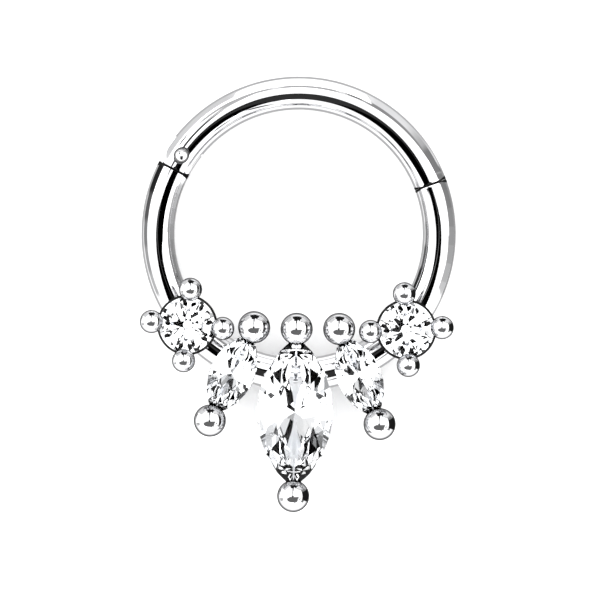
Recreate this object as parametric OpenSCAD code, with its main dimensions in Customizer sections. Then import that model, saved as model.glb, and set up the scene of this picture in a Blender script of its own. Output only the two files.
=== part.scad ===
// Septum ring of round steel wire with a hinged segment and a fan of five clear stones.
// The ring lies on its side: the wire's back rests on z = 0 and the stones face +Z.
// The origin is the ring's centre, +Y points to the hinged segment, +X to its clasp.

/* [Ring] */
// Thickness of the round wire
wire_d = 1.2; // [1.1:0.05:1.5]
// Inside diameter of the closed ring
inner_d = 9; // [8:0.5:12]

/* [Hinge] */
// Direction of the hinge pin, counted round the ring from its right-hand side
hinge_deg = 147.5; // [135:0.5:155]
// Diameter of the hinge pin
pin_d = 0.5; // [0.4:0.02:0.56]
// Height of the pin's domed head above the wire
pin_dome = 0.05; // [0.02:0.01:0.1]
// Thickness of the tongue that stands between the segment's two cheeks
tongue_t = 0.4; // [0.3:0.02:0.46]
// Metal round the pin's hole in the tongue
tongue_wall = 0.14; // [0.1:0.01:0.16]

/* [Clasp] */
// Direction of the clasp seam, counted round the ring from its right-hand side
clasp_deg = 21.6; // [10:0.5:35]
// Diameter of the tenon on the segment's end
tenon_d = 0.44; // [0.3:0.02:0.54]
// Length of the tenon beyond the segment's end
tenon_l = 0.4; // [0.25:0.05:0.5]

/* [Centre stone] */
// Length of the marquise stone in the middle
centre_l = 5.5; // [4.5:0.1:7]
// Width of the marquise stone in the middle
centre_w = 2.75; // [2:0.05:3.2]
// How far its upper tip stands inside the ring's inner edge
centre_rise = 0.8; // [0.5:0.05:1]

/* [Side stones] */
// Length of each marquise stone beside it
side_l = 3.2; // [2.8:0.1:4]
// Width of each marquise stone beside it
side_w = 1.6; // [1.4:0.05:2]
// How far its upper tip stands inside the ring's inner edge
side_rise = 0.5; // [0.3:0.05:0.7]

/* [Round stones] */
// Diameter of each round stone
round_d = 2.1; // [1.8:0.05:2.4]
// How far its centre lies outside the middle line of the wire
round_shift = 0.1; // [0:0.02:0.2]

/* [Cut of the stones] */
// Size of the table as a share of the stone's outline
table_share = 0.56; // [0.5:0.01:0.62]
// Slope of the crown's main facets at the stone's widest place, in degrees
crown_deg = 33; // [28:1:36]
// Slope of the pavilion's main facets at the stone's widest place, in degrees
pavilion_deg = 40.5; // [38:0.5:43]
// Thickness of the girdle
girdle_t = 0.05; // [0.03:0.01:0.08]

/* [Beads and prongs] */
// Diameter of the beads over the tips of the marquise stones
tip_bead_d = 1.16; // [1:0.02:1.3]
// How far a tip bead reaches over its stone
tip_cover = 0.32; // [0.2:0.02:0.4]
// Thickness of the posts that carry the tip beads
post_d = 0.5; // [0.4:0.02:0.6]
// Diameter of the four beads round each round stone
prong_bead_d = 0.84; // [0.7:0.02:0.9]
// How far a prong bead reaches over its stone
prong_cover = 0.18; // [0.1:0.02:0.24]
// Thickness of the prongs that carry those beads
prong_d = 0.38; // [0.3:0.02:0.44]
// Height of each bead's centre above the girdle of its stone
bead_lift = 0.18; // [0.12:0.01:0.24]

/* [Settings] */
// Gap between the centre stone and a side stone where they cross the wire
centre_gap = 0.3; // [0.25:0.05:0.6]
// Gap between a side stone and a round stone where they cross the wire
round_gap = 0.44; // [0.35:0.02:0.7]
// Height of the boat-shaped rail below each marquise stone
rail_h = 0.5; // [0.3:0.05:0.7]
// Width of that rail's wall
rail_w = 0.28; // [0.2:0.02:0.3]
// How far the rail's edge lies inside the stone's outline
rail_inset = 0.35; // [0.3:0.05:0.4]
// Width of the rim that shows round each round stone
rim_show = 0.04; // [0.02:0.01:0.08]
// Thickness of the cup's wall at its rim
rim_w = 0.12; // [0.08:0.01:0.16]
// Metal between the wire's front and the point of a round stone
seat_floor = 0.1; // [0.06:0.02:0.2]

/* [Fits] */
// Gap between a stone and the metal round it
seat_gap = 0.04; // [0.03:0.01:0.06]
// Width of the two seams between segment and fixed arc
seam_gap = 0.04; // [0.03:0.01:0.06]
// Radial clearance of the pin in the tongue, and of the tenon in its socket
running_gap = 0.03; // [0.02:0.01:0.05]
// Radial clearance of the pin in the two cheeks that carry it
pin_gap = 0.015; // [0.01:0.005:0.02]
// Clearance on each side of the tongue, and between cheeks and shoulder as they swing
cheek_gap = 0.05; // [0.03:0.01:0.08]
// Width of the broken edge at the seams
edge_break = 0.06; // [0.04:0.01:0.1]

/* [Hidden] */

$fn = 64;
round_fn = 160;

// How far a hidden end reaches into what it joins
bury = 0.3;
wire_r = wire_d / 2;
mean_r = inner_d / 2 + wire_r;

// Hinge: the cheeks are rounded about the pin, just short of the fixed arc's shoulder
slot_t = tongue_t + 2 * cheek_gap;
cheek_half = sqrt(wire_r * wire_r - slot_t * slot_t / 4);
hinge_reach = cheek_half + cheek_gap;
tongue_r = pin_d / 2 + running_gap + tongue_wall;
tongue_end_deg = asin(tongue_r / mean_r);
shoulder_deg = hinge_deg + asin(hinge_reach / mean_r);
seam_deg = asin(seam_gap / mean_r);

// Clasp: the tenon points the way in which the segment's end closes about the pin
pin_xy = mean_r * [cos(hinge_deg), sin(hinge_deg)];
clasp_xy = mean_r * [cos(clasp_deg), sin(clasp_deg)];
swing_arm = clasp_xy - pin_xy;
closing_deg = atan2(-swing_arm.x, swing_arm.y);

// Stones: heights of crown and pavilion follow from the width and the slopes
function crown_h(w) = w / 2 * (1 - table_share) * tan(crown_deg);
function pavilion_h(w) = w / 2 * tan(pavilion_deg);
girdle_z = wire_d + seat_floor + girdle_t / 2 + pavilion_h(round_d);

// Marquise outline: two equal arcs that meet at the tips
function arc_r(l, w) = (l * l + w * w) / (4 * w);
function arc_off(l, w) = arc_r(l, w) - w / 2;
function half_width(l, w, x) = sqrt(pow(arc_r(l, w), 2) - x * x) - arc_off(l, w);
function half_length(l, w, grow) = sqrt(pow(arc_r(l, w) + grow, 2) - pow(arc_off(l, w), 2));

// Fan: each stone stands on a radius of the ring, one gap on from its neighbour
centre_at = inner_d / 2 - centre_rise + centre_l / 2;
side_at = inner_d / 2 - side_rise + side_l / 2;
round_at = mean_r + round_shift;
side_half = half_width(side_l, side_w, side_at - mean_r);
centre_half = half_width(centre_l, centre_w, centre_at - mean_r);
side_fan = 2 * asin((centre_half + side_half + centre_gap) / (2 * mean_r));
round_fan = side_fan + 2 * asin((side_half + round_d / 2 + round_gap) / (2 * mean_r));

rail_z = wire_r - rail_h / 2;
tip_bead_out = tip_bead_d / 2 - tip_cover;
prong_at = round_d / 2 + prong_bead_d / 2 - prong_cover;
bead_z = girdle_z + bead_lift;

module ring_sector(from_deg, to_deg) {
    rotate_extrude(angle = to_deg - from_deg, start = from_deg, $fn = round_fn)
        translate([mean_r, wire_r]) circle(wire_r);
}

// Frame on the wire at one direction: X outwards, Y along the wire, Z to the front
module on_wire(deg) {
    rotate([0, 0, deg]) translate([mean_r, 0, wire_r]) children();
}

// Frame on a radius of the fan: X outwards from the ring's centre, z = 0 at the back
module on_fan(fan_deg, out) {
    rotate([0, 0, fan_deg - 90]) translate([out, 0, 0]) children();
}

module edge_groove(deg) {
    on_wire(deg) rotate([-90, 0, 0]) rotate_extrude()
        polygon([
            [wire_r - edge_break, 0],
            [wire_r + edge_break, 2 * edge_break],
            [wire_r + edge_break, -2 * edge_break]
        ]);
}

module along_closing() {
    translate([clasp_xy.x, clasp_xy.y, wire_r])
        rotate([0, 0, closing_deg]) rotate([0, 90, 0]) children();
}

module bar(from, to, d) {
    run = to - from;
    translate(from)
        rotate([0, acos(run.z / norm(run)), atan2(run.y, run.x)])
            cylinder(d = d, h = norm(run));
}

module boat(l, w, grow = 0) {
    intersection() {
        translate([0, arc_off(l, w)]) circle(arc_r(l, w) + grow, $fn = round_fn);
        translate([0, -arc_off(l, w)]) circle(arc_r(l, w) + grow, $fn = round_fn);
    }
}

// The stone's edge leaves a notch in both tip beads and their posts
module marquise_setting(l, w) {
    foot = half_length(l, w, -rail_inset) - rail_w / 2;
    notch_below = tip_cover * pavilion_h(w) / (l / 2) + girdle_t / 2 + seat_gap;
    notch_above = tip_cover * crown_h(w) / (l / 2 * (1 - table_share)) + girdle_t / 2 + seat_gap;
    difference() {
        for (side = [-1, 1]) {
            tip = [side * (l / 2 + tip_bead_out), 0, bead_z];
            bar([side * foot, 0, rail_z - bury], tip, post_d);
            translate(tip) sphere(d = tip_bead_d);
        }
        translate([-l, -l, rail_z - l]) cube([2 * l, 2 * l, l]);
        translate([0, 0, girdle_z - notch_below])
            linear_extrude(notch_below + notch_above) boat(l, w, seat_gap);
    }
    translate([0, 0, rail_z]) linear_extrude(rail_h)
        difference() {
            boat(l, w, -rail_inset);
            boat(l, w, -rail_inset - rail_w);
        }
}

// Space that a round stone needs: its two cones and its edge, one gap larger all round
module round_seat() {
    half = round_d / 2;
    below_z = girdle_z - girdle_t / 2 - seat_gap;
    above_z = girdle_z + girdle_t / 2 + seat_gap;
    rotate_extrude($fn = round_fn)
        polygon([
            [0, below_z - half * tan(pavilion_deg)],
            [half + seat_gap, below_z + seat_gap * tan(pavilion_deg)],
            [half + seat_gap, above_z - seat_gap * tan(crown_deg)],
            [0, above_z + half * tan(crown_deg)]
        ]);
}

module round_setting() {
    rim_z = girdle_z - girdle_t / 2 - seat_gap - (rim_w - rim_show) * tan(pavilion_deg);
    foot_r = wire_r - seat_gap;
    difference() {
        union() {
            for (deg = [45:90:315]) rotate([0, 0, deg]) {
                bar([foot_r, 0, wire_r], [prong_at, 0, bead_z], prong_d);
                translate([prong_at, 0, bead_z]) sphere(d = prong_bead_d);
            }
            translate([0, 0, wire_r])
                cylinder(r1 = foot_r, r2 = round_d / 2 + rim_show, h = rim_z - wire_r, $fn = round_fn);
        }
        round_seat();
    }
}

// Brilliant cut. An outline has 16 stations: even ones carry the main facets, whose
// planes touch the outline there, and the odd ones lie between them.
MAINS = [0:7];
STATIONS = [0:15];

// Heights at which neighbouring main facets meet, as shares of crown and pavilion
star_rise = 0.55;
lower_reach = 0.75;

function circle_place(r, j) = r * [cos(22.5 * j), sin(22.5 * j)];
function circle_normal(j) = [cos(22.5 * j), sin(22.5 * j)];

function boat_turn(l, w, j) = asin(l / 2 / arc_r(l, w)) * (1 - (j <= 8 ? j : 16 - j) / 4);
function boat_side(j) = j <= 8 ? 1 : -1;
function boat_place(l, w, j) = [
    arc_r(l, w) * sin(boat_turn(l, w, j)),
    boat_side(j) * (arc_r(l, w) * cos(boat_turn(l, w, j)) - arc_off(l, w))
];
function boat_normal(l, w, j) = j % 8 == 0
    ? [j == 0 ? 1 : -1, 0]
    : [sin(boat_turn(l, w, j)), boat_side(j) * cos(boat_turn(l, w, j))];

function crossing(n1, c1, n2, c2) =
    [c1 * n2.y - c2 * n1.y, c2 * n1.x - c1 * n2.x] / (n1.x * n2.y - n2.x * n1.y);

// Where the planes of two neighbouring main facets meet, with the outline shrunk to share
function facet_corner(places, normals, k, share) =
    let (a = 2 * k, b = (2 * k + 2) % 16)
    crossing(normals[a], share * normals[a] * places[a], normals[b], share * normals[b] * places[b]);

module brilliant(places, normals, w) {
    top = girdle_t / 2;
    table = [for (k = MAINS) [each table_share * places[2 * k], top + crown_h(w)]];
    stars = [for (k = MAINS) [
        each facet_corner(places, normals, k, 1 - star_rise * (1 - table_share)),
        top + star_rise * crown_h(w)
    ]];
    upper = [for (j = STATIONS) [each places[j], top]];
    lower = [for (j = STATIONS) [each places[j], -top]];
    fins = [for (k = MAINS) [
        each facet_corner(places, normals, k, 1 - lower_reach),
        -top - lower_reach * pavilion_h(w)
    ]];
    point = [0, 0, -top - pavilion_h(w)];

    // Where each row starts in the list of all corners
    star = len(table);
    up = star + len(stars);
    low = up + len(upper);
    fin = low + len(lower);
    tip = fin + len(fins);
    polyhedron(
        points = [each table, each stars, each upper, each lower, each fins, point],
        faces = [
            [for (k = [7:-1:0]) k],
            for (k = MAINS) each [
                [(k + 1) % 8, star + k, k],
                [k, star + k, up + 2 * k, star + (k + 7) % 8],
                [star + k, up + 2 * k + 1, up + 2 * k],
                [star + k, up + (2 * k + 2) % 16, up + 2 * k + 1],
                [fin + k, low + 2 * k, low + 2 * k + 1],
                [fin + k, low + 2 * k + 1, low + (2 * k + 2) % 16],
                [tip, fin + (k + 7) % 8, low + 2 * k, fin + k]
            ],
            for (j = STATIONS) [up + j, up + (j + 1) % 16, low + (j + 1) % 16, low + j]
        ]
    );
}

module marquise_stone(l, w) {
    translate([0, 0, girdle_z]) brilliant(
        [for (j = STATIONS) boat_place(l, w, j)],
        [for (j = STATIONS) boat_normal(l, w, j)],
        w
    );
}

module round_stone() {
    translate([0, 0, girdle_z]) brilliant(
        [for (j = STATIONS) circle_place(round_d / 2, j)],
        [for (j = STATIONS) circle_normal(j)],
        round_d
    );
}

// What is cut from the fixed arc's end to leave its tongue: a plate that fills the slot
// on the ring's inner side and is round about the pin where the segment swings past it
module tongue_relief() {
    for (side = [-1, 1]) translate([-wire_d, -wire_d, side > 0 ? tongue_t / 2 : -wire_d])
        cube([2 * wire_d, wire_d + hinge_reach, wire_d - tongue_t / 2]);
    difference() {
        translate([0, -wire_d, -tongue_t]) cube([wire_d, wire_d + hinge_reach, 2 * tongue_t]);
        cylinder(r = tongue_r, h = 4 * tongue_t, center = true);
        translate([-wire_d, 0, -2 * tongue_t])
            cube([wire_d + tongue_r, wire_d, 4 * tongue_t]);
    }
}

module fixed_arc() {
    color("silver") {
        difference() {
            ring_sector(hinge_deg - tongue_end_deg, 360 + clasp_deg - seam_deg / 2);
            on_wire(hinge_deg) {
                tongue_relief();
                cylinder(r = pin_d / 2 + running_gap, h = wire_d, center = true);
            }
            edge_groove(shoulder_deg - seam_deg / 2);
            edge_groove(clasp_deg);
            along_closing() translate([0, 0, -bury])
                cylinder(r = tenon_d / 2 + running_gap, h = bury + tenon_l + seam_gap);
        }
        on_fan(0, centre_at) marquise_setting(centre_l, centre_w);
        for (side = [-1, 1]) {
            on_fan(side * side_fan, side_at) marquise_setting(side_l, side_w);
            on_fan(side * round_fan, round_at) round_setting();
        }
    }
}

module hinged_segment() {
    cheek_r = hinge_reach - cheek_gap;
    color("gainsboro") difference() {
        union() {
            ring_sector(clasp_deg + seam_deg / 2, shoulder_deg - seam_deg);
            along_closing() translate([0, 0, -bury]) cylinder(d = tenon_d, h = bury + tenon_l);
        }
        on_wire(hinge_deg) {
            translate([-wire_d, -tongue_r - cheek_gap, -slot_t / 2]) cube([2 * wire_d, 2 * wire_d, slot_t]);
            difference() {
                translate([0, 0, -wire_d]) cube([wire_d, wire_d, 2 * wire_d]);
                cylinder(r = cheek_r, h = 4 * wire_d, center = true);
            }
            cylinder(r = pin_d / 2 + pin_gap, h = 2 * wire_d, center = true);
        }
        edge_groove(shoulder_deg - seam_deg / 2);
        edge_groove(clasp_deg);
    }
}

module hinge_pin() {
    edge_z = sqrt(wire_r * wire_r - pin_d * pin_d / 4);
    steps = 6;
    color("dimgray") on_wire(hinge_deg) rotate_extrude()
        polygon([
            [0, -edge_z], [pin_d / 2, -edge_z],
            for (i = [0:steps]) [
                pin_d / 2 * cos(90 * i / steps),
                edge_z + (wire_r - edge_z + pin_dome) * sin(90 * i / steps)
            ]
        ]);
}

module stone_centre() {
    color("lightcyan") on_fan(0, centre_at) marquise_stone(centre_l, centre_w);
}

module stone_side(side) {
    color("lightcyan") on_fan(side * side_fan, side_at) marquise_stone(side_l, side_w);
}

module stone_round(side) {
    color("azure") on_fan(side * round_fan, round_at) round_stone();
}

fixed_arc();
hinged_segment();
hinge_pin();
stone_centre();
stone_side(-1);  // stone_side_left
stone_side(1);  // stone_side_right
stone_round(-1);  // stone_round_left
stone_round(1);  // stone_round_right
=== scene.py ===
import math

import bpy
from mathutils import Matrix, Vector


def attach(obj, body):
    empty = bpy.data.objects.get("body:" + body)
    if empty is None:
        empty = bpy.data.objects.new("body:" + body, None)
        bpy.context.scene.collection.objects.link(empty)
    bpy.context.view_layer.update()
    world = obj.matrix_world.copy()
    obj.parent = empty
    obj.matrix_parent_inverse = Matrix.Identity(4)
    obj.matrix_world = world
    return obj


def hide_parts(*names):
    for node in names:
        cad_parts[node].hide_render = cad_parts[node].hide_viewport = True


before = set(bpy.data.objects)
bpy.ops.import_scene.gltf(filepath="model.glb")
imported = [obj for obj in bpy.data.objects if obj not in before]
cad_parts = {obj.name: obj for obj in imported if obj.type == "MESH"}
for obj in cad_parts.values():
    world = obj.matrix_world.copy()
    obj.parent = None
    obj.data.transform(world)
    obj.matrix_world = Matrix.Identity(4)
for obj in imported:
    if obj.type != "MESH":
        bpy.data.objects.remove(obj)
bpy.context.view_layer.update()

# Sizes of the ring, in metres: x to the clasp's side, y to the hinged segment's side,
# z out of the stones' tables. The wire's back rests on z = 0.
MM = 0.001
WIRE_R = 0.6 * MM
MEAN_R = 5.1 * MM
HINGE_DEG = 147.5
SHOULDER_DEG = 154.20
CLASP_DEG = 21.6
SEAM_DEG = 0.45
CLASP_GAP_DEG = 0.1
TONGUE_END_DEG = 4.72
EDGE_BREAK = 0.015 * MM

# The pin, the tongue between its cheeks, and the tenon in its socket.
PIN_R = 0.25 * MM
PIN_LOW = 0.0546 * MM
PIN_DOME_Z = 1.13 * MM
PIN_DOME_RISE = 0.12 * MM
PIN_GAP_IN_TONGUE = 0.03 * MM
PIN_GAP_IN_CHEEKS = 0.015 * MM
TONGUE_HALF = 0.2 * MM
SLOT_HALF = 0.25 * MM
TONGUE_R = 0.42 * MM
SLOT_GAP = 0.05 * MM
HINGE_REACH = 0.5954 * MM
CHEEK_R = 0.5454 * MM
TENON_R = 0.22 * MM
SOCKET_R = 0.25 * MM
TENON_ROOT = 0.3 * MM
WIDE = 1.2 * MM

# The stones, the gap that each has in its seat, and the height of the beads that hold them.
# A marquise has its length, width, distance from the ring's centre, and the heights of its
# crown and pavilion. Its crown takes up CROWN_SHARE of half its length.
GIRDLE_Z = 2.2218 * MM
GIRDLE_HALF = 0.025 * MM
SEAT_GAP = 0.04 * MM
BEAD_Z = 2.4018 * MM
CENTRE = dict(l=5.5 * MM, w=2.75 * MM, out=6.45 * MM, crown=0.393 * MM, pavilion=1.174 * MM)
SIDE = dict(l=3.2 * MM, w=1.6 * MM, out=5.6 * MM, crown=0.229 * MM, pavilion=0.683 * MM)
SIDE_FAN = 24.17
CROWN_SHARE = 0.44
ROUND_FAN = 49.38
ROUND_OUT = 5.2 * MM
ROUND_R = 1.05 * MM
ROUND_TIP_R = 0.01 * MM
ROUND_PAVILION_SLOPE = 0.8541
ROUND_CROWN_SLOPE = 0.6494

# The rails under the marquises and the posts that rise from them.
RAIL_INSET = 0.35 * MM
RAIL_LOW = 0.35 * MM
RAIL_TALL = 0.5 * MM
RAIL_WALL = 0.28 * MM
RAIL_SOFT = 0.05 * MM
POST_R = 0.25 * MM
POST_FOOT_Z = 0.05 * MM
POST_SOLDER_R = 0.09 * MM
BEAD_R = 0.58 * MM
BEAD_REACH = 0.26 * MM

# The cups under the round stones and their prongs.
CUP_TOP = 2.0885 * MM
PRONG_R = 0.19 * MM
PRONG_FOOT_OUT = 0.56 * MM
PRONG_FOOT_Z = 0.6 * MM
PRONG_SOLDER_R = 0.07 * MM
PRONG_BEAD_R = 0.42 * MM
PRONG_BEAD_OUT = 1.29 * MM

# Corners closer than this are one corner.
SAME_POINT = 0.0004 * MM
SAME_OUTLINE_POINT = 0.002 * MM


# Hand tools
def deselect():
    bpy.ops.object.select_all(action="DESELECT")


def alone(piece):
    deselect()
    piece.select_set(True)
    bpy.context.view_layer.objects.active = piece
    return piece


def edit(piece):
    """Edit mode, with every corner selected."""
    alone(piece)
    bpy.ops.object.mode_set(mode="EDIT")
    bpy.ops.mesh.select_mode(type="VERT")
    bpy.ops.mesh.select_all(action="SELECT")


def leave():
    bpy.ops.object.mode_set(mode="OBJECT")


def face_outwards():
    bpy.ops.mesh.select_all(action="SELECT")
    bpy.ops.mesh.normals_make_consistent(inside=False)


def set_down(piece):
    """Its place goes into its mesh, so that the object itself sits at the origin."""
    alone(piece)
    bpy.ops.object.transform_apply(location=True, rotation=True, scale=True)
    return piece


def start(name):
    """The primitive that was just added: named, set down and in edit mode."""
    piece = bpy.context.active_object
    piece.name = piece.data.name = name
    set_down(piece)
    edit(piece)
    return piece


def close_up(piece, smooth_deg=35):
    """Doubles merged, faces turned outwards, softly shaded between its sharp edges."""
    edit(piece)
    bpy.ops.mesh.remove_doubles(threshold=SAME_POINT)
    bpy.ops.mesh.normals_make_consistent(inside=False)
    leave()
    bpy.ops.object.shade_smooth_by_angle(angle=math.radians(smooth_deg))
    return piece


def copy_of(piece, name):
    alone(piece)
    bpy.ops.object.duplicate(linked=False)
    twin = bpy.context.active_object
    twin.name = twin.data.name = name
    return twin


def boolean(piece, tool, operation):
    alone(piece)
    cut = piece.modifiers.new("cut", "BOOLEAN")
    cut.operation = operation
    cut.solver = "EXACT"
    cut.object = tool
    bpy.ops.object.modifier_apply(modifier="cut")
    bpy.data.objects.remove(tool, do_unlink=True)
    return piece


def cut_away(piece, *tools):
    for tool in tools:
        boolean(piece, tool, "DIFFERENCE")
    return piece


def block(x, y, z):
    """A plain block between two bounds on each axis, to cut with."""
    deselect()
    bpy.ops.mesh.primitive_cube_add(size=1)
    tool = bpy.context.active_object
    tool.scale = (x[1] - x[0], y[1] - y[0], z[1] - z[0])
    tool.location = ((x[0] + x[1]) / 2, (y[0] + y[1]) / 2, (z[0] + z[1]) / 2)
    return set_down(tool)


def drill(radius, height, sides=96):
    """A round bar about the z axis, half above and half below, to cut with."""
    deselect()
    bpy.ops.mesh.primitive_cylinder_add(vertices=sides, radius=radius, depth=height)
    return set_down(bpy.context.active_object)


# Turned pieces
def turned(name, rings, sides=48):
    """A lathe-turned piece along +Z: a circle drawn out ring by ring, (radius, height)."""
    (r, z), *rest = rings
    deselect()
    bpy.ops.mesh.primitive_circle_add(vertices=sides, radius=r, fill_type="NGON",
                                      location=(0, 0, z))
    piece = start(name)
    for r_next, z_next in rest:
        bpy.ops.mesh.extrude_region_move(TRANSFORM_OT_translate={"value": (0, 0, z_next - z)})
        if r_next > 0:
            share = r_next / r
            bpy.ops.transform.resize(value=(share, share, 1), center_override=(0, 0, z_next))
        else:
            bpy.ops.mesh.merge(type="CENTER")
        r, z = r_next, z_next
    leave()
    return piece


def arc(centre_r, centre_z, radius, from_deg, to_deg, steps):
    turn = [math.radians(from_deg + (to_deg - from_deg) * i / steps) for i in range(steps + 1)]
    return [(centre_r + radius * math.cos(a), centre_z + radius * math.sin(a)) for a in turn]


def post_with_bead(name, post_r, length, bead_r, solder_r, sides=64):
    """A straight post with a round bead melted on its end and a solder fillet between."""
    fillet_r = post_r + solder_r
    fillet_z = length - math.sqrt((bead_r + solder_r) ** 2 - fillet_r ** 2)
    meet_deg = math.degrees(math.atan2(length - fillet_z, -fillet_r))
    bead_deg = meet_deg - 180
    rings = [(post_r, 0), (post_r, 0.3 * length), (post_r, 0.6 * length)]
    rings += arc(fillet_r, fillet_z, solder_r, 180, meet_deg, 6)
    rings += arc(0, length, bead_r, bead_deg, 90, 28)[1:-1]
    rings.append((0, length + bead_r))
    return close_up(turned(name, rings, sides))


def stand(piece, foot, tip):
    """Leans a turned piece over, so that it runs from its foot to its tip."""
    run = Vector(tip) - Vector(foot)
    piece.rotation_euler = (0, math.acos(run.z / run.length), math.atan2(run.y, run.x))
    piece.location = foot
    return set_down(piece)


# Marquise outlines
def arc_r(l, w):
    return (l * l + w * w) / (4 * w)


def arc_off(l, w):
    return arc_r(l, w) - w / 2


def half_length(l, w, grow):
    return math.sqrt((arc_r(l, w) + grow) ** 2 - arc_off(l, w) ** 2)


def boat_outline(name, l, w, grow, z, corners=720):
    """Both arcs of a marquise: a circle cut along the long axis and mirrored across it."""
    deselect()
    bpy.ops.mesh.primitive_circle_add(vertices=corners, radius=arc_r(l, w) + grow,
                                      location=(0, -arc_off(l, w), z))
    piece = start(name)
    bpy.ops.mesh.bisect(plane_co=(0, 0, z), plane_no=(0, 1, 0), clear_inner=True)
    bpy.ops.mesh.select_all(action="SELECT")
    bpy.ops.mesh.symmetrize(direction="POSITIVE_Y")
    bpy.ops.mesh.select_all(action="SELECT")
    bpy.ops.mesh.remove_doubles(threshold=SAME_OUTLINE_POINT)
    return piece


def boat_block(name, l, w, grow, z, height):
    """A solid of marquise outline, to cut notches with."""
    piece = boat_outline(name, l, w, grow, z, 360)
    bpy.ops.mesh.edge_face_add()
    bpy.ops.mesh.extrude_region_move(TRANSFORM_OT_translate={"value": (0, 0, height)})
    face_outwards()
    leave()
    return piece


def boat_rail(name, l, w):
    """The rail under a marquise stone: an upright wall along its outline, edges softened."""
    piece = boat_outline(name, l, w, -RAIL_INSET, RAIL_LOW)
    bpy.ops.mesh.extrude_edges_move(TRANSFORM_OT_translate={"value": (0, 0, RAIL_TALL)})
    face_outwards()
    leave()
    wall = piece.modifiers.new("wall", "SOLIDIFY")
    wall.thickness = RAIL_WALL
    wall.offset = -1
    wall.use_even_offset = True
    soft = piece.modifiers.new("soft", "BEVEL")
    soft.width = RAIL_SOFT
    soft.segments = 3
    soft.limit_method = "ANGLE"
    soft.angle_limit = math.radians(50)
    for modifier in ("wall", "soft"):
        bpy.ops.object.modifier_apply(modifier=modifier)
    return close_up(piece)


# Places on the ring
def on_wire(piece, deg):
    """From the frame of one place on the wire: x outwards, y along the wire."""
    turn = math.radians(deg)
    piece.rotation_euler = (0, 0, turn)
    piece.location = (MEAN_R * math.cos(turn), MEAN_R * math.sin(turn), WIRE_R)
    return set_down(piece)


def on_fan(piece, fan_deg, out):
    """From the frame of one stone of the fan: x outwards from the ring's centre."""
    turn = math.radians(fan_deg - 90)
    piece.rotation_euler = (0, 0, turn)
    piece.location = (out * math.cos(turn), out * math.sin(turn), 0)
    return set_down(piece)


def point_on_wire(deg):
    turn = math.radians(deg)
    return Vector((MEAN_R * math.cos(turn), MEAN_R * math.sin(turn), WIRE_R))


pin_place = point_on_wire(HINGE_DEG)
clasp_place = point_on_wire(CLASP_DEG)
arm = clasp_place - pin_place
closing = Vector((arm.y, -arm.x, 0)).normalized()


# The wire, hinge and clasp
def wire_length(name, from_deg, to_deg, steps, sides=80):
    """Round wire bent along the ring: a circle spun about the ring's centre, ends closed
    and their edges broken."""
    deselect()
    bpy.ops.mesh.primitive_circle_add(
        vertices=sides, radius=WIRE_R, rotation=(math.pi / 2, 0, math.radians(from_deg)),
        location=point_on_wire(from_deg))
    piece = start(name)
    bpy.ops.mesh.spin(steps=steps, angle=math.radians(to_deg - from_deg), center=(0, 0, 0),
                      axis=(0, 0, -1))
    bpy.ops.mesh.select_all(action="SELECT")
    bpy.ops.mesh.remove_doubles(threshold=SAME_POINT)
    bpy.ops.mesh.fill_holes(sides=0)
    face_outwards()
    bpy.ops.mesh.select_mode(type="EDGE")
    bpy.ops.mesh.select_all(action="DESELECT")
    bpy.ops.mesh.edges_select_sharp(sharpness=math.radians(60))
    bpy.ops.mesh.bevel(offset=EDGE_BREAK, segments=3, affect="EDGES")
    leave()
    return piece


def tongue_relief():
    """What is cut from the lower arc's end so that only its tongue stays."""
    above = block((-WIDE, WIDE), (-WIDE, HINGE_REACH), (TONGUE_HALF, WIDE))
    below = block((-WIDE, WIDE), (-WIDE, HINGE_REACH), (-WIDE, -TONGUE_HALF))
    corner = block((0, WIDE), (-WIDE, HINGE_REACH), (-0.4 * MM, 0.4 * MM))
    cut_away(corner, drill(TONGUE_R, 2 * MM),
             block((-WIDE, TONGUE_R), (0, WIDE), (-0.5 * MM, 0.5 * MM)))
    return above, below, corner


def lower_wire():
    piece = wire_length("Lower_Wire", HINGE_DEG - TONGUE_END_DEG,
                        360 + CLASP_DEG - CLASP_GAP_DEG / 2, 220)
    bore = drill(PIN_R + PIN_GAP_IN_TONGUE, 3 * MM)
    for tool in (*tongue_relief(), bore):
        cut_away(piece, on_wire(tool, HINGE_DEG))
    socket = turned("socket", [(SOCKET_R, -TENON_ROOT), (SOCKET_R, 0.40 * MM),
                               (0.21 * MM, 0.44 * MM), (0, 0.44 * MM)])
    cut_away(piece, stand(socket, clasp_place, clasp_place + closing))
    return close_up(piece)


def segment_wire():
    piece = wire_length("Hinged_Segment", CLASP_DEG + CLASP_GAP_DEG / 2,
                        SHOULDER_DEG - SEAM_DEG, 128)
    slot = block((-2 * WIDE, 2 * WIDE), (-TONGUE_R - SLOT_GAP, WIDE), (-SLOT_HALF, SLOT_HALF))
    corner = block((0, WIDE), (0, WIDE), (-WIDE, WIDE))
    cut_away(corner, drill(CHEEK_R, 4 * MM))
    bore = drill(PIN_R + PIN_GAP_IN_CHEEKS, 3 * MM)
    sink = turned("sink", [(0.25 * MM, 0.50 * MM), (0.36 * MM, 0.64 * MM), (0, 0.64 * MM)], 96)
    for tool in (slot, corner, bore, sink):
        cut_away(piece, on_wire(tool, HINGE_DEG))
    tenon = turned("tenon", [(TENON_R, -TENON_ROOT), (TENON_R, 0.34 * MM),
                             (0.17 * MM, 0.40 * MM), (0, 0.40 * MM)])
    boolean(piece, stand(tenon, clasp_place, clasp_place + closing), "UNION")
    return close_up(piece)


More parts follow.
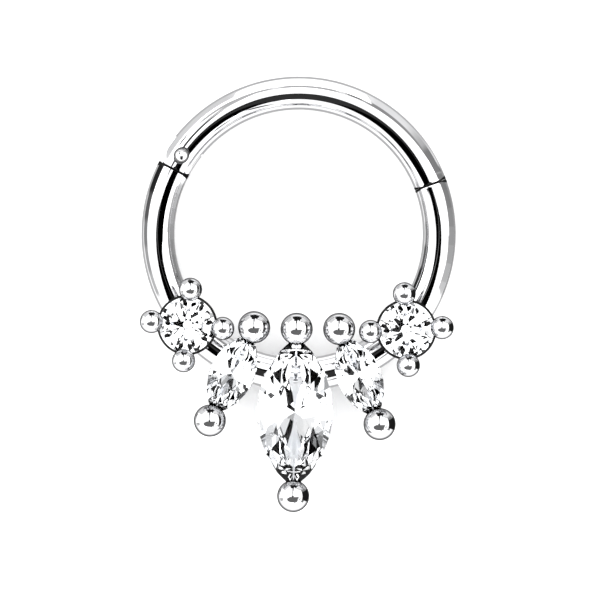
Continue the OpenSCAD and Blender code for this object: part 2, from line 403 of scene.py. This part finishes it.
def hinge_pin():
    """A straight pin with a chamfered foot and a domed head."""
    rings = [(0.22 * MM, PIN_LOW), (PIN_R, PIN_LOW + 0.03 * MM), (PIN_R, WIRE_R),
             (PIN_R, PIN_DOME_Z)]
    rings += [(PIN_R * math.cos(a), PIN_DOME_Z + PIN_DOME_RISE * math.sin(a))
              for a in (math.radians(9 * i) for i in range(1, 10))]
    rings.append((0, PIN_DOME_Z + PIN_DOME_RISE))
    piece = close_up(turned("Pin_Of_Hinge", rings, 64))
    piece.location = (pin_place.x, pin_place.y, 0)
    return set_down(piece)


# Settings
def tip_post(name, l, w, crown, pavilion, **_):
    """Post and bead over one tip of a marquise, with the notch that the stone sits in."""
    foot = (half_length(l, w, -RAIL_INSET) - RAIL_WALL / 2, 0, POST_FOOT_Z)
    tip = (l / 2 + BEAD_REACH, 0, BEAD_Z)
    length = (Vector(tip) - Vector(foot)).length
    piece = stand(post_with_bead(name, POST_R, length, BEAD_R, POST_SOLDER_R), foot, tip)
    over_stone = BEAD_R - BEAD_REACH
    below = over_stone * pavilion / (l / 2) + GIRDLE_HALF + SEAT_GAP
    above = over_stone * crown / (l / 2 * CROWN_SHARE) + GIRDLE_HALF + SEAT_GAP
    cut_away(piece, block((-l, l), (-l, l), (-1 * MM, RAIL_LOW)),
             boat_block("notch", l, w, SEAT_GAP, GIRDLE_Z - below, below + above))
    return close_up(piece)


def marquise_setting(name, size, fan_deg):
    rail = boat_rail("Rail_" + name, size["l"], size["w"])
    outer = tip_post("Outer_Bead_" + name, **size)
    inner = copy_of(outer, "Inner_Bead_" + name)
    inner.rotation_euler = (0, 0, math.pi)
    set_down(inner)
    return [on_fan(piece, fan_deg, size["out"]) for piece in (rail, outer, inner)]


def round_seat():
    """The space that a round stone needs, one gap larger all round."""
    low = GIRDLE_Z - GIRDLE_HALF - SEAT_GAP
    high = GIRDLE_Z + GIRDLE_HALF + SEAT_GAP
    seat_r = ROUND_R + SEAT_GAP
    return turned("seat", [
        (ROUND_TIP_R, low - (ROUND_R - ROUND_TIP_R) * ROUND_PAVILION_SLOPE),
        (seat_r, low + SEAT_GAP * ROUND_PAVILION_SLOPE),
        (seat_r, high - SEAT_GAP * ROUND_CROWN_SLOPE),
        (0, high + ROUND_R * ROUND_CROWN_SLOPE)], 128)


def cup(name):
    """The cup below a round stone, drawn out of the wire with a flared, soldered foot."""
    rings = [(0.50 * MM, 0.60 * MM), (0.66 * MM, 0.98 * MM), (0.72 * MM, 1.16 * MM),
             (0.80 * MM, 1.30 * MM), (0.93 * MM, 1.65 * MM), (1.08 * MM, 2.05 * MM),
             (1.09 * MM, 2.072 * MM), (1.085 * MM, 2.086 * MM), (1.07 * MM, CUP_TOP),
             (0.4 * MM, CUP_TOP), (0, CUP_TOP)]
    return close_up(cut_away(turned(name, rings, 96), round_seat()))


def prong(name):
    foot, tip = (PRONG_FOOT_OUT, 0, PRONG_FOOT_Z), (PRONG_BEAD_OUT, 0, BEAD_Z)
    length = (Vector(tip) - Vector(foot)).length
    post = post_with_bead(name, PRONG_R, length, PRONG_BEAD_R, PRONG_SOLDER_R)
    return close_up(cut_away(stand(post, foot, tip), round_seat()))


def round_setting(side_name, fan_deg):
    pieces = [cup("Cup_" + side_name)]
    first = prong("Prong_" + side_name + "_1")
    for number, deg in enumerate((45, 135, 225, 315), 1):
        turned_prong = first if number == 4 else copy_of(first, f"Prong_{side_name}_{number + 1}")
        turned_prong.rotation_euler = (0, 0, math.radians(deg))
        pieces.append(set_down(turned_prong))
    return [on_fan(piece, fan_deg, ROUND_OUT) for piece in pieces]


ring_metal = [lower_wire()]
ring_metal += marquise_setting("Centre", CENTRE, 0)
ring_metal += marquise_setting("Left", SIDE, -SIDE_FAN)
ring_metal += marquise_setting("Right", SIDE, SIDE_FAN)
ring_metal += round_setting("Left", -ROUND_FAN)
ring_metal += round_setting("Right", ROUND_FAN)
segment = segment_wire()
pin = hinge_pin()

for piece in ring_metal:
    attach(piece, "ring")
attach(segment, "segment")
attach(pin, "segment")
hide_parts("fixed_arc")
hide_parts("hinged_segment")
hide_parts("hinge_pin")


# Materials
def value(level):
    return (level, level, level, 1)


class Wiring:
    """The nodes of one material or of the light tent, with short ways to wire them."""

    def __init__(self, tree):
        self.nodes, self.links = tree.nodes, tree.links

    def plug(self, socket, given):
        """A socket takes a plain value, or what another node gives."""
        if isinstance(given, bpy.types.NodeSocket):
            self.links.new(given, socket)
        else:
            socket.default_value = given

    def place(self, kind):
        return self.nodes.new("ShaderNodeTexCoord").outputs[kind]

    def split(self, vector):
        node = self.nodes.new("ShaderNodeSeparateXYZ")
        self.links.new(vector, node.inputs[0])
        return node.outputs

    def flat(self, x, y):
        """The place in the ring's plane, with its height left out."""
        node = self.nodes.new("ShaderNodeCombineXYZ")
        self.links.new(x, node.inputs["X"])
        self.links.new(y, node.inputs["Y"])
        return node.outputs[0]

    def math(self, operation, *inputs):
        node = self.nodes.new("ShaderNodeMath")
        node.operation = operation
        for socket, given in zip(node.inputs, inputs):
            self.plug(socket, given)
        return node.outputs[0]

    def measure(self, operation, *vectors):
        node = self.nodes.new("ShaderNodeVectorMath")
        node.operation = operation
        for socket, given in zip(node.inputs, vectors):
            self.plug(socket, given)
        return node.outputs["Value"]

    def spread(self, given, low, high, to_low=0, to_high=1, kind="LINEAR"):
        """Goes from to_low to to_high while what is given goes from low to high."""
        node = self.nodes.new("ShaderNodeMapRange")
        node.interpolation_type = kind
        for name, level in (("Value", given), ("From Min", low), ("From Max", high),
                            ("To Min", to_low), ("To Max", to_high)):
            self.plug(node.inputs[name], level)
        return node.outputs["Result"]


class Finish(Wiring):
    """One material, which reads its places from Object coordinates."""

    def __init__(self, name):
        self.made = bpy.data.materials.new(name)
        self.made.use_nodes = True
        super().__init__(self.made.node_tree)
        self.shader = self.nodes["Principled BSDF"]

    def set(self, name, given):
        self.plug(self.shader.inputs[name], given)

    def noise(self, scale, detail):
        node = self.nodes.new("ShaderNodeTexNoise")
        node.inputs["Scale"].default_value = scale
        node.inputs["Detail"].default_value = detail
        self.links.new(self.place("Object"), node.inputs["Vector"])
        return node.outputs["Fac"]

    def ramp(self, source, low, high, low_at=0.3, high_at=0.7):
        """Colours or values between two ends, as a noise goes from low to high."""
        node = self.nodes.new("ShaderNodeValToRGB")
        node.color_ramp.elements[0].position = low_at
        node.color_ramp.elements[1].position = high_at
        node.color_ramp.elements[0].color = low
        node.color_ramp.elements[1].color = high
        self.links.new(source, node.inputs["Fac"])
        return node.outputs["Color"]

    def darken(self, mask, dark, gone):
        """Where the mask is 1 the colour is dark, and the named property of the shader is gone."""
        colour = self.shader.inputs["Base Color"]
        mix = self.nodes.new("ShaderNodeMix")
        mix.data_type = "RGBA"
        self.links.new(mask, mix.inputs["Factor"])
        self.links.new(colour.links[0].from_socket, mix.inputs["A"])
        mix.inputs["B"].default_value = value(dark)
        self.links.new(mix.outputs["Result"], colour)
        self.set(gone, self.math("SUBTRACT", 1, mask))

    def put_on(self, piece):
        piece.data.materials.clear()
        piece.data.materials.append(self.made)


def polished_steel(name, bright, dull, smooth, rough, edge=0.2):
    """Mirror-polished steel: the buff leaves it a little uneven in gloss and height."""
    finish = Finish(name)
    finish.set("Metallic", 1)
    finish.set("Specular Tint", value(edge))
    buff = finish.noise(900, 4)
    finish.set("Base Color", finish.ramp(buff, dull, bright))
    finish.set("Roughness", finish.ramp(buff, value(smooth), value(rough)))
    bump = finish.nodes.new("ShaderNodeBump")
    bump.inputs["Strength"].default_value = 0.05
    bump.inputs["Distance"].default_value = 0.00002
    finish.plug(bump.inputs["Height"], finish.noise(1500, 2))
    finish.set("Normal", bump.outputs["Normal"])
    return finish


def painted_lip_shade(finish, low, high, dark):
    """Painted shade: the lip round a stone or a pin is darkened and loses its shine, standing in
    for the shade in the gap round it.
    """
    height = finish.split(finish.place("Object"))["Z"]
    finish.darken(finish.spread(height, low, high), dark, "Metallic")
    finish.set("Specular IOR Level", 0)


def painted_seam_shade(finish, places, half_deg, corner_deg):
    """Painted shade: the seams of the wire are darkened and lose their shine, more so at their
    corners, standing in for the shade in the gaps.
    """
    x, y, _ = finish.split(finish.place("Object"))
    around = finish.math("ARCTAN2", y, x)
    near = [finish.math("ABSOLUTE", finish.math("SUBTRACT", around, math.radians(deg)))
            for deg in places]
    out = finish.measure("LENGTH", finish.flat(x, y))
    off = finish.math("ABSOLUTE", finish.math("SUBTRACT", out, MEAN_R))
    reach = finish.spread(off, 0.38 * MM, 0.58 * MM, math.radians(half_deg),
                          math.radians(corner_deg))
    seam = finish.math("LESS_THAN", finish.math("MINIMUM", *near), reach)
    finish.darken(seam, 0.01, "Metallic")
    finish.set("Specular IOR Level", 0)


def cut_stone(name):
    """Clear cut stone, with the faint change of tint that a grown crystal has."""
    finish = Finish(name)
    finish.set("Transmission Weight", 1)
    finish.set("IOR", 1.75)
    finish.set("Specular Tint", value(0.15))
    growth = finish.noise(700, 2)
    finish.set("Base Color", finish.ramp(growth, (0.93, 0.96, 1, 1), value(1)))
    finish.set("Roughness", finish.ramp(growth, value(0), value(0.004)))
    return finish


def painted_girdle_shade(finish, inner, outer):
    """Painted shade: the round stones are darkened at their girdles and let no light through
    there, standing in for the shaded gap round them.
    """
    x, y, _ = finish.split(finish.place("Object"))
    turn = math.radians(ROUND_FAN - 90)
    middle = (ROUND_OUT * math.cos(turn), ROUND_OUT * math.sin(turn), 0)
    off = finish.measure("DISTANCE", finish.flat(finish.math("ABSOLUTE", x), y), middle)
    finish.darken(finish.spread(off, inner, outer), 0.02, "Transmission Weight")


STEEL_BRIGHT, STEEL_DULL = (0.63, 0.63, 0.64, 1), (0.58, 0.58, 0.59, 1)
PIN_BRIGHT, PIN_DULL = (0.56, 0.56, 0.57, 1), (0.50, 0.50, 0.51, 1)

bead_steel = polished_steel("Polished steel", STEEL_BRIGHT, STEEL_DULL, 0.02, 0.05, 0)
wire_steel = polished_steel("Wire steel", STEEL_BRIGHT, STEEL_DULL, 0.02, 0.05, 0.8)
# Painted shade in the seams at the clasp and at the hinge's shoulder.
painted_seam_shade(wire_steel, (CLASP_DEG, SHOULDER_DEG - SEAM_DEG / 2), 0.5, 1.3)
pin_steel = polished_steel("Pin steel", PIN_BRIGHT, PIN_DULL, 0.05, 0.12, 0)
# Painted shade low on the pin, where it stands in the sink below its head.
painted_lip_shade(pin_steel, 1.215 * MM, 1.195 * MM, 0.12)
cup_steel = polished_steel("Cup steel", STEEL_BRIGHT, STEEL_DULL, 0.03, 0.08)
# Painted shade on the cups' lips, under the round stones' girdles.
painted_lip_shade(cup_steel, 1.95 * MM, 2.03 * MM, 0.03)
boat_stone = cut_stone("Clear cut stone")
round_stone = cut_stone("Clear round stone")
# Painted shade round the edge of each round stone.
painted_girdle_shade(round_stone, 0.995 * MM, 1.005 * MM)

BOATS = ("stone_centre", "stone_side_left", "stone_side_right")
ROUNDS = ("stone_round_left", "stone_round_right")
boats = [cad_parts[name] for name in BOATS]
rounds = [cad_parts[name] for name in ROUNDS]
stones = boats + rounds
cups = [piece for piece in ring_metal if "Cup" in piece.name]
beads = [piece for piece in ring_metal if "Bead" in piece.name or "Prong" in piece.name]
wires = [ring_metal[0], segment, pin]

for piece in ring_metal + [segment]:
    wire_steel.put_on(piece)
for piece in beads:
    bead_steel.put_on(piece)
for piece in cups:
    cup_steel.put_on(piece)
pin_steel.put_on(pin)
for stone in boats:
    stone.material_slots[0].material = boat_stone.made
for stone in rounds:
    stone.material_slots[0].material = round_stone.made


# Floor and light
def floor():
    """A sheet of pale paper. The metal doesn't mirror it, but the tent's own ground."""
    deselect()
    bpy.ops.mesh.primitive_plane_add(size=0.8, location=(0, 0, 0))
    sheet = bpy.context.active_object
    sheet.name = "Floor"
    paper = Finish("Pale floor")
    paper.set("Base Color", paper.ramp(paper.noise(300, 2), value(0.86), value(0.88)))
    paper.set("Roughness", 0.9)
    sheet.data.materials.append(paper.made)
    sheet.visible_glossy = False
    sheet.visible_shadow = False
    return sheet


class Tent(Wiring):
    """The light tent: a white dome with a dark opening overhead and grey flags low down."""

    def __init__(self, white):
        self.world = bpy.data.worlds.new("Light tent")
        bpy.context.scene.world = self.world
        self.world.use_nodes = True
        super().__init__(self.world.node_tree)
        self.x, self.y, self.z = self.split(self.place("Generated"))
        self.around = self.math("ARCTAN2", self.y, self.x)
        self.down = self.math("ARCCOSINE", self.z)
        self.light = white

    def soft(self, given, outside, inside):
        """0 at and past outside, 1 at and past inside."""
        return self.spread(given, outside, inside, kind="SMOOTHSTEP")

    def mix(self, mask, level):
        """Where the mask is 1, the light is at that level."""
        keep = self.math("SUBTRACT", 1, mask)
        self.light = self.math("ADD", self.math("MULTIPLY", self.light, keep),
                               self.math("MULTIPLY", mask, level))

    def ground(self, top_deg, foot_deg, level):
        """What the polished metal mirrors below the horizon."""
        self.mix(self.soft(self.down, math.radians(top_deg), math.radians(foot_deg)), level)

    def oval(self, x_deg, y_deg, x_half, y_half, edge, level):
        """An opening near the zenith, placed and sized in degrees along each axis."""
        # A little over 1, so that straight up nothing is divided by zero.
        one = 1.000001
        sideways = self.math("SQRT", self.math("SUBTRACT", one, self.math("POWER", self.z, 2)))
        tilt = self.math("DIVIDE", self.down, sideways)
        squares = []
        for axis, middle, half in ((self.x, x_deg, x_half), (self.y, y_deg, y_half)):
            off = self.math("SUBTRACT", self.math("MULTIPLY", axis, tilt), math.radians(middle))
            share = self.math("DIVIDE", off, math.radians(half))
            squares.append(self.math("POWER", share, 2))
        out = self.math("SQRT", self.math("ADD", *squares))
        self.mix(self.soft(out, 1 + edge, 1 - edge), level)

    def flag(self, around_deg, half_deg, top_deg, foot_deg, edge_deg, level):
        """A card round the horizon, from one angle off the zenith down to another."""
        edge = math.radians(edge_deg)
        turn = self.math("SUBTRACT", self.around, math.radians(around_deg))
        off = self.math("ARCCOSINE", self.math("COSINE", turn))
        half, top, foot = (math.radians(d) for d in (half_deg, top_deg, foot_deg))
        mask = self.math("MULTIPLY", self.soft(off, half + edge, half),
                         self.math("MULTIPLY", self.soft(self.down, top - edge, top),
                                   self.soft(self.down, foot + edge, foot)))
        self.mix(mask, level)

    def shine(self):
        background = self.nodes["Background"]
        self.plug(background.inputs["Color"], self.light)
        background.inputs["Strength"].default_value = 1


def lamp_panel(name, wide, tall, level, lit):
    """A flat lamp, evenly bright, that lights only some of the pieces."""
    lamp = bpy.data.lights.new(name, "AREA")
    lamp.shape = "RECTANGLE"
    lamp.size, lamp.size_y = wide, tall
    lamp.energy = level * math.pi * wide * tall
    panel = bpy.data.objects.new(name, lamp)
    bpy.context.scene.collection.objects.link(panel)
    panel.visible_camera = False
    group = bpy.data.collections.new(name + " lights")
    for piece in lit:
        group.objects.link(piece)
    panel.light_linking.receiver_collection = group
    return panel


def overhead(name, x, y, level, lit, height=0.3):
    """A panel that hangs level above the ring, between two angles off the zenith on each axis."""
    x_low, x_high, y_low, y_high = (height * math.tan(math.radians(d)) for d in (*x, *y))
    panel = lamp_panel(name, x_high - x_low, y_high - y_low, level, lit)
    panel.location = ((x_low + x_high) / 2, (y_low + y_high) / 2, height)


def beside(name, around_deg, down_deg, half_wide, half_tall, level, lit, away=0.5):
    """A panel that faces the ring from one side."""
    wide, tall = (2 * away * math.tan(math.radians(d)) for d in (half_wide, half_tall))
    panel = lamp_panel(name, wide, tall, level, lit)
    around, down = math.radians(around_deg), math.radians(down_deg)
    panel.location = (away * math.sin(down) * math.cos(around),
                      away * math.sin(down) * math.sin(around), away * math.cos(down))
    panel.rotation_euler = (down, 0, around + math.pi / 2)


def near_card(name, x, y, wide, tall, height, turn_deg, level, lit):
    """A small card close above the ring, placed and sized in millimetres."""
    panel = lamp_panel(name, wide * MM, tall * MM, level, lit)
    panel.location = (x * MM, y * MM, height * MM)
    panel.rotation_euler = (0, 0, math.radians(turn_deg))


table = floor()
tent = Tent(1.9)

# The first cards and ovals lie behind the later ones. A card has its middle and half its width
# round the horizon, its top and foot off the zenith, its soft edge and its light. An oval has
# its middle and half its size along x and y, its soft edge and its light.
tent.flag(90, 40, 34, 60, 4, 0.8)
tent.flag(134, 14, 82, 118, 12, 1.1)
tent.oval(-18, 14, 7, 10, 0.4, 0.1)
for opening in ((-5, -25, 40, 20), (-11, -8, 16, 13), (18, -8, 23, 15), (2, -6, 18, 12)):
    tent.oval(*opening, 0.05, 0.0)
for spot in ((14, -52, 8, 13), (18, 54, 5, 9), (40, 18, 13, 7), (-46, 30, 5, 9),
             (26, -38, 5, 5), (-6, 26, 4, 6), (10, 18, 4, 4), (34, -46, 5, 5)):
    tent.oval(*spot, 0.1, 0.0)
tent.oval(-3, 24, 3.5, 23, 0.15, 0.9)
tent.ground(118, 126, 0.8)
for card in (
        (198, 5, 84, 110, 3, 0.8),
        (189, 5, 84, 112, 3, 0.6),
        (179, 5, 82, 114, 3, 0.38),
        (169, 5, 80, 118, 3, 0.17),
        (158.5, 5, 76, 124, 3, 0.03),
        (-27, 5, 50, 90, 3, 0.3),
        (3, 23, 56, 140, 4, 0.02),
        (32.5, 7, 50, 118, 1, 0.35),
        (44, 6, 60, 118, 4, 0.75),
        (54, 6, 72, 118, 10, 1.3),
        (50, 12, 40, 66, 4, 0.45),
        (88, 21, 82, 106, 4, 0.02),
        (88, 17, 62, 84, 4, 0.02),
        (87, 9, 44, 64, 4, 0.02)):
    tent.flag(*card)
tent.shine()

# Panels overhead: the angles that each spans along x and y, its light, and what it lights.
for panel in (
        ("Right window", (3, 64), (-7, 58), 2, beads),
        ("Left window", (-72, -9), (-7, 58), 2, beads),
        ("Low window", (-48, 48), (-48, -8), 0.22, beads),
        ("Line lamp", (-12, 12), (-45, -5), 0.05, wires),
        ("Front card", (5, 24), (-68, -44), 2, wires),
        ("Patch card", (-60, 60), (-66, -35), 2, beads),
        ("Corner card", (29, 41), (-53, -39), 2, wires),
        ("Far card", (10, 26), (42, 66), 2, beads),
        ("Pin card", (-50, 50), (-70, 8), 2, [pin]),
        ("Stone card", (-24, -12), (8, 32), 2, stones),
        ("Table lamp", (-70, 70), (-70, 70), 1.5, [table]),
        ("Boat band", (-48, 48), (-16, 8), 2, boats),
        ("Boat left", (-50, -20), (-50, -16), 2, boats),
        ("Boat slip", (-20, -9), (-31, -16), 2, boats),
        ("Boat strip", (-20, -9), (-50, -45), 2, boats),
        ("Boat middle", (-9, 6), (-50, -16), 2, boats),
        ("Boat gap", (6, 13), (-38, -16), 2, boats),
        ("Boat right", (24, 48), (-32, -16), 2, boats),
        ("Boat corner", (32, 48), (-41, -32), 2, boats),
        ("Round middle", (-12, 5), (-12, 8), 2, rounds),
        ("Round right", (19, 48), (-50, 8), 2, rounds),
        ("Round left", (-48, -19), (-50, 8), 2, rounds),
        ("Round front", (-19, 19), (-50, -19), 2, rounds)):
    overhead(*panel)

# Panels beside the ring: angle round it, angle off the zenith, half width, half height, light.
for panel in (
        ("Left panel", 170, 90, 22, 25, 2, beads + stones),
        ("Stone panel", 14, 74, 40, 15, 2, stones),
        ("Bead panel", 5, 62, 32, 8, 2, beads),
        ("Back panel", 90, 82, 26, 28, 2, wires),
        ("Line fill", 87, 49, 11, 6, 0.75, wires),
        ("Streak fill", -27, 70, 7, 24, 1.5, wires),
        ("Low right panel", 4, 133, 24, 8, 0.5, wires)):
    beside(*panel)
for slat, level in enumerate((1.1, 0.92, 0.75, 0.62, 0.52, 0.43, 0.36, 0.33)):
    beside(f"Right slat {slat + 1}", 7 * slat - 27, 90, 3.5, 36, level, wires)

# Small cards close above: x, y, width, height of the card, height above the floor, turn, light.
for card in (
        ("Near card", 53.8, 19.8, 132.4, 35.2, 42, 0, 2, wires),
        ("Near end card", -71.5, 19.8, 97, 35.2, 42, 0, 2, wires),
        ("Near back card", -43.5, 101, 153, 78, 42, 0, 2, wires),
        ("Near left card", -36.2, 7.4, 50, 30, 20, -41.6, 2, wires),
        ("Near right card", 30.4, -3.4, 27, 35, 20, 40.1, 2, wires)):
    near_card(*card)

# Camera: straight above, over the middle of the ring and its fan, turned as the photo is
VIEW_WIDE = 21.70 * MM
VIEW_X, VIEW_Y = 0.098 * MM, -2.40 * MM
ROLL_DEG = 1.2
lens = bpy.data.cameras.new("Camera")
lens.lens = 400
lens.sensor_width = 36
lens.clip_start, lens.clip_end = 0.01, 10
camera = bpy.data.objects.new("Camera", lens)
bpy.context.scene.collection.objects.link(camera)
camera.location = (VIEW_X, VIEW_Y, 2 * WIRE_R + VIEW_WIDE * lens.lens / lens.sensor_width)
camera.rotation_euler = (0, 0, math.radians(ROLL_DEG))
bpy.context.scene.camera = camera
bpy.context.scene.view_settings.view_transform = "Standard"
